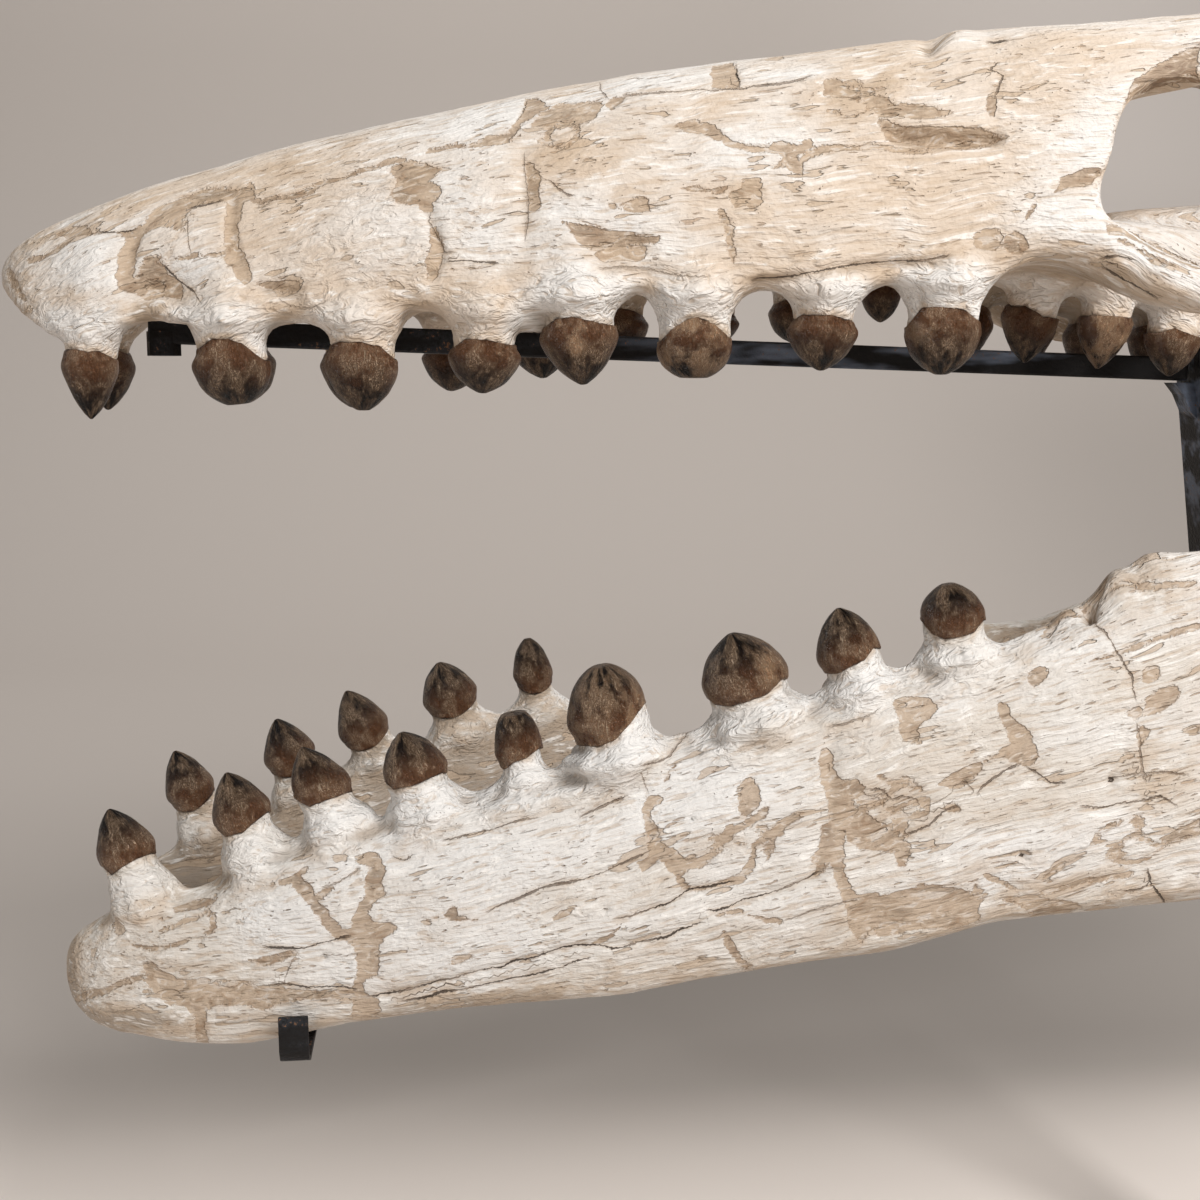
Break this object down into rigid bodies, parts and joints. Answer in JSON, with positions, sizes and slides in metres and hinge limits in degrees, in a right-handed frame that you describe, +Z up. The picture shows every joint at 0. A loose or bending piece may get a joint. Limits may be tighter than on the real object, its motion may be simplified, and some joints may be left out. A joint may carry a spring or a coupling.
{
  "type": "mounted fossil skull of a globe-toothed marine lizard",
  "caption": "Fossil reptile skull with open jaws and round crushing teeth, held on a leaning steel post with carrying bars, bent clips and a base plate.",
  "frame": {"origin": "on the floor, under the middle of the whole skull's length and width", "axes": "+Z up; +X along the skull from the snout to the back of the head; the skull's left side faces -Y"},
  "size_m": [0.64, 0.2188, 0.458],
  "materials": {
    "skull_bone": "dry fossil bone, cream with tan filler in the cracks, matt",
    "jaw_bone": "dry fossil bone, whiter than the skull, matt",
    "enamel": "wrinkled dark brown tooth enamel, soft sheen",
    "black_steel": "black paint with small worn specks, half gloss"
  },
  "bodies": {
    "root": {"cranium": "skull_bone", "mandible_left": "jaw_bone", "mandible_right": "jaw_bone", "crown_upper_left_1": "enamel", "crown_upper_left_2": "enamel", "crown_upper_left_3": "enamel", "crown_upper_left_4": "enamel", "crown_upper_left_5": "enamel", "crown_upper_left_6": "enamel", "crown_upper_left_7": "enamel", "crown_upper_left_8": "enamel", "crown_upper_right_1": "enamel", "crown_upper_right_2": "enamel", "crown_upper_right_3": "enamel", "crown_upper_right_4": "enamel", "crown_upper_right_5": "enamel", "crown_upper_right_6": "enamel", "crown_upper_right_7": "enamel", "crown_upper_right_8": "enamel", "crown_upper_right_9": "enamel", "crown_palate_left_1": "enamel", "crown_palate_left_2": "enamel", "crown_palate_left_3": "enamel", "crown_palate_left_4": "enamel", "crown_palate_right_1": "enamel", "crown_palate_right_2": "enamel", "crown_palate_right_3": "enamel", "crown_palate_right_4": "enamel", "crown_lower_left_1": "enamel", "crown_lower_left_2": "enamel", "crown_lower_left_3": "enamel", "crown_lower_left_4": "enamel", "crown_lower_left_5": "enamel", "crown_lower_left_6": "enamel", "crown_lower_left_7": "enamel", "crown_lower_left_8": "enamel", "crown_lower_left_9": "enamel", "crown_lower_right_1": "enamel", "crown_lower_right_2": "enamel", "crown_lower_right_3": "enamel", "crown_lower_right_4": "enamel", "crown_lower_right_5": "enamel", "stand_base": "black_steel", "stand_post": "black_steel", "palate_bar": "black_steel", "jaw_bar_front": "black_steel", "jaw_bar_rear": "black_steel", "jaw_clip_left": "black_steel", "jaw_clip_right": "black_steel", "rear_clip_left": "black_steel", "rear_clip_right": "black_steel"}
  },
  "joints": []
}
